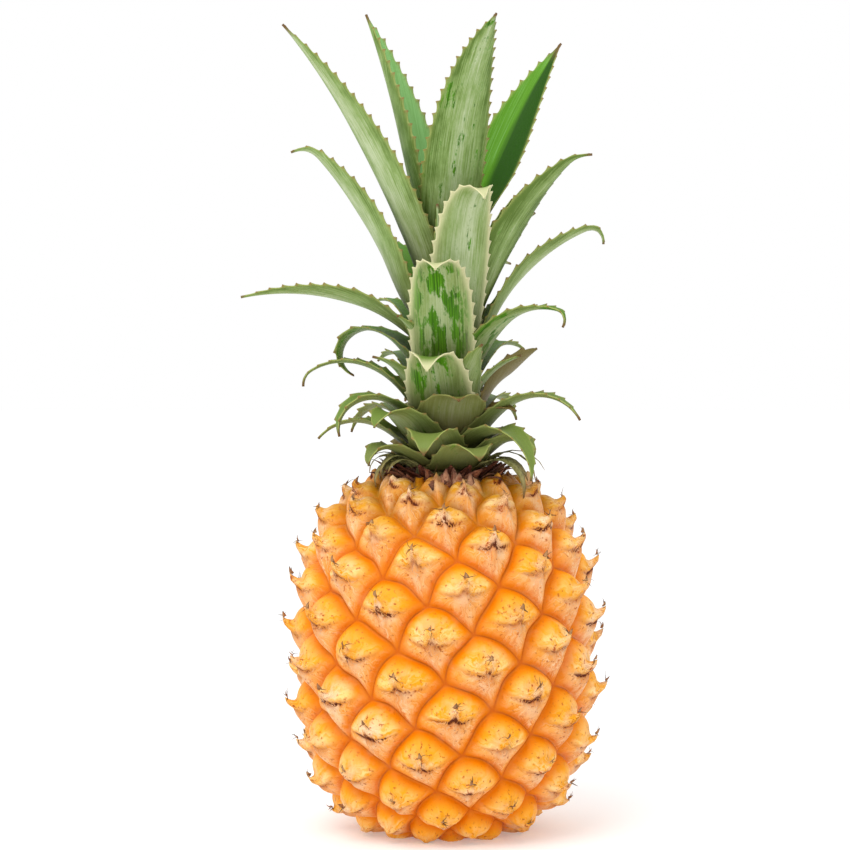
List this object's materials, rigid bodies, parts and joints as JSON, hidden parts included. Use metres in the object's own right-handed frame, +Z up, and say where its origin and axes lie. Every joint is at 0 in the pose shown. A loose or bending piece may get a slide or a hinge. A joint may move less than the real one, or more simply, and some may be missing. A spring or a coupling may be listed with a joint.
{
  "type": "pineapple",
  "caption": "Small whole pineapple that stands on its cut base: an oval fruit with raised pointed eyes under a tall crown of arched, saw-edged leaves.",
  "frame": {"origin": "the middle of the flat spot that the fruit stands on, in the plane of the table", "axes": "+Z up along the fruit's core to the crown, +X to the right as seen from the front, -Y the front"},
  "size_m": [0.1235, 0.1099, 0.2771],
  "materials": {
    "fruit_skin": "waxy, orange-gold, with paler domes and papery points",
    "stem": "pale green, matt",
    "dry_bract": "dry, reddish brown",
    "leaf": "stiff and smooth above, grey and scurfy below, with a saw-toothed edge"
  },
  "bodies": {
    "root": {"fruit": "fruit_skin", "crown_stem": "stem", "collar_bracts": "dry_bract", "leaf_01": "leaf", "leaf_02": "leaf", "leaf_03": "leaf", "leaf_04": "leaf", "leaf_05": "leaf", "leaf_06": "leaf", "leaf_07": "leaf", "leaf_08": "leaf", "leaf_09": "leaf", "leaf_10": "leaf", "leaf_11": "leaf", "leaf_12": "leaf", "leaf_13": "leaf", "leaf_14": "leaf", "leaf_15": "leaf", "leaf_16": "leaf", "leaf_17": "leaf", "leaf_18": "leaf", "leaf_19": "leaf", "leaf_20": "leaf", "leaf_21": "leaf", "leaf_22": "leaf", "leaf_23": "leaf", "leaf_24": "leaf", "leaf_25": "leaf", "leaf_26": "leaf", "leaf_27": "leaf", "leaf_28": "leaf", "leaf_29": "leaf", "leaf_30": "leaf", "leaf_31": "leaf", "leaf_32": "leaf", "leaf_33": "leaf", "leaf_34": "leaf", "leaf_35": "leaf", "leaf_36": "leaf", "leaf_37": "leaf", "leaf_38": "leaf", "leaf_39": "leaf", "leaf_40": "leaf", "leaf_41": "leaf", "leaf_42": "leaf", "leaf_43": "leaf", "leaf_44": "leaf", "leaf_45": "leaf", "leaf_46": "leaf", "leaf_47": "leaf", "leaf_48": "leaf", "leaf_49": "leaf", "leaf_50": "leaf"}
  },
  "joints": []
}
